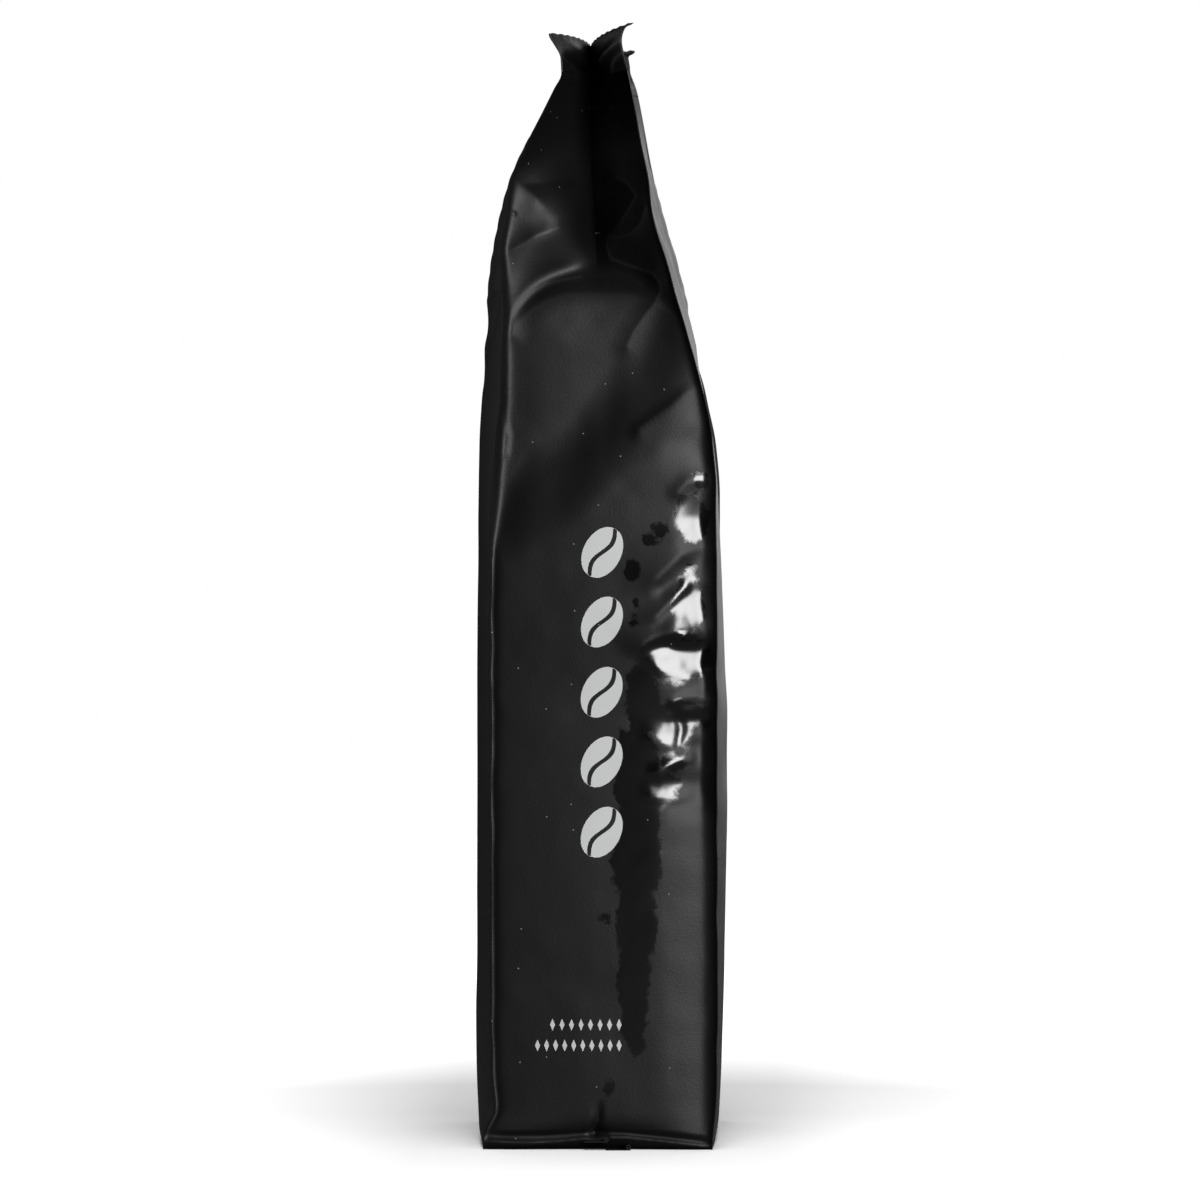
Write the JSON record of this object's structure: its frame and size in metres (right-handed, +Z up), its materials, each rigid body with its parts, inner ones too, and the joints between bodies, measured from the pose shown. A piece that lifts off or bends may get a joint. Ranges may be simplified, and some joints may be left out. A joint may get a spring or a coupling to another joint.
{
  "type": "coffee bag",
  "caption": "Filled, shut side-gusset coffee bag of matt black film that stands on its folded base, with a pressed top seal splayed into ears.",
  "frame": {"origin": "middle of the footprint, on the surface the bag stands on", "axes": "+Z up along the bag's height, +X across a narrow gusset side, +Y across a broad panel; -Y is the gusset side shown"},
  "size_m": [0.0857, 0.1359, 0.3769],
  "materials": {
    "film": "matt black laminated film with smoother, glossier patches"
  },
  "bodies": {
    "root": {"bag": "film"}
  },
  "joints": []
}
